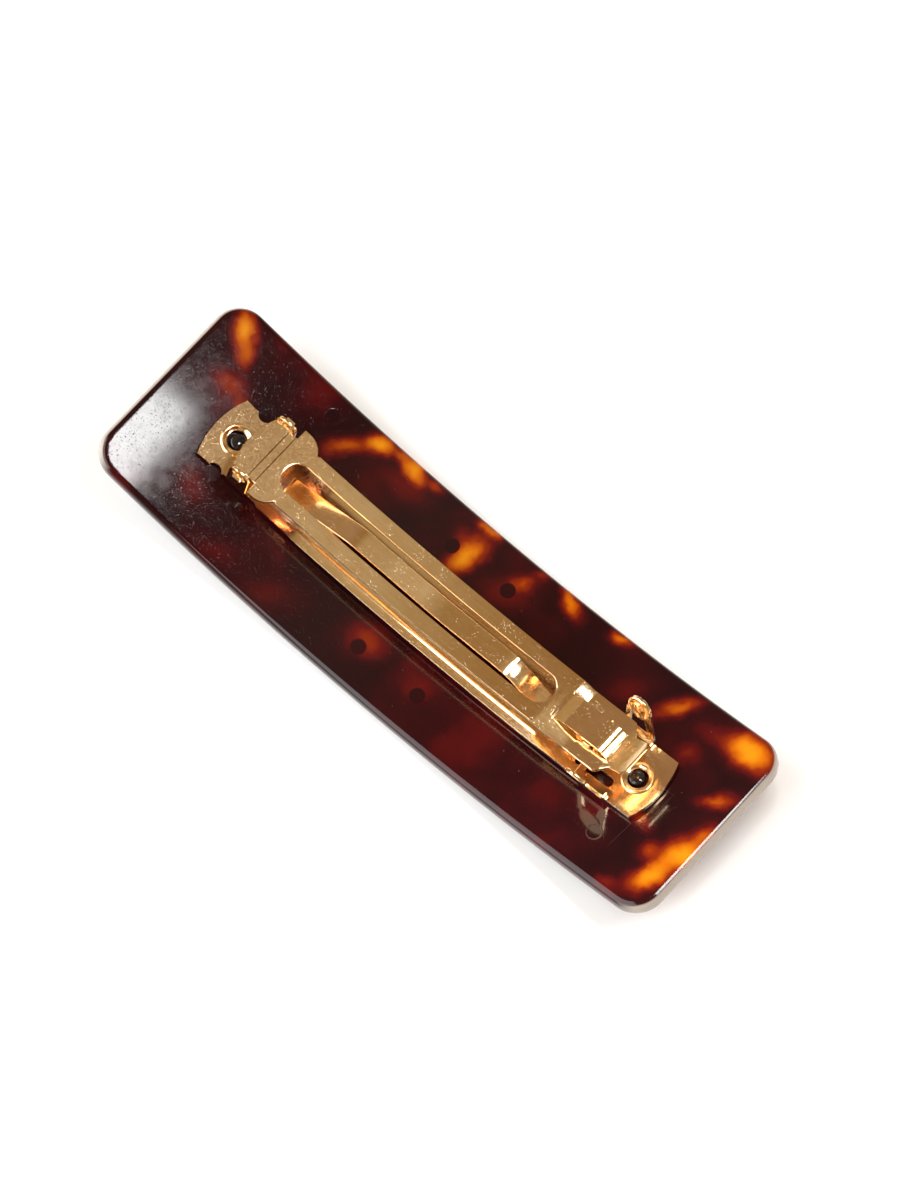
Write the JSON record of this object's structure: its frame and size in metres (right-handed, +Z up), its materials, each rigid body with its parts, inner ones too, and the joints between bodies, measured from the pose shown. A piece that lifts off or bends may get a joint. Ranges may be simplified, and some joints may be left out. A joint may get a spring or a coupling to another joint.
{
  "type": "barrette hair clip",
  "caption": "Arched rectangular tortoiseshell acetate barrette with a gold plated French clip: hinged arm, bow spring and two squeeze catch levers.",
  "frame": {"origin": "on the floor under the middle of the arched plate, which lies on its convex front", "axes": "+X along the clip from the hinge end to the catch end, +Y across it, +Z up out of the clasp side"},
  "size_m": [0.0994, 0.0304, 0.0151],
  "materials": {
    "acetate": "polished tortoiseshell acetate, near black brown with amber patches",
    "gold_plate": "bright gold plated spring steel with fine scratches"
  },
  "bodies": {
    "back": {"plate": "acetate", "peg_hinge_end": "acetate", "peg_catch_end": "acetate", "base": "gold_plate", "bow_spring": "gold_plate"},
    "closing_arm": {"arm": "gold_plate"},
    "lever_far": {"catch_lever_far": "gold_plate"},
    "lever_near": {"catch_lever_near": "gold_plate"}
  },
  "joints": [
    {"name": "arm_hinge", "type": "hinge", "parent": "back", "child": "closing_arm", "pos_m": [-0.031, 0, 0.01303], "axis": [0, -1, 0], "range_deg": [0, 85]},
    {"name": "lever_far_squeeze", "type": "hinge", "parent": "back", "child": "lever_far", "pos_m": [0.0294, 0.005, 0.00742], "axis": [0.989, 0, 0.148], "range_deg": [0, 4], "stiffness_Nm_per_rad": 0.1},
    {"name": "lever_near_squeeze", "type": "hinge", "parent": "back", "child": "lever_near", "pos_m": [0.0294, -0.005, 0.00742], "axis": [-0.989, 0, -0.148], "range_deg": [0, 4], "stiffness_Nm_per_rad": 0.1}
  ]
}
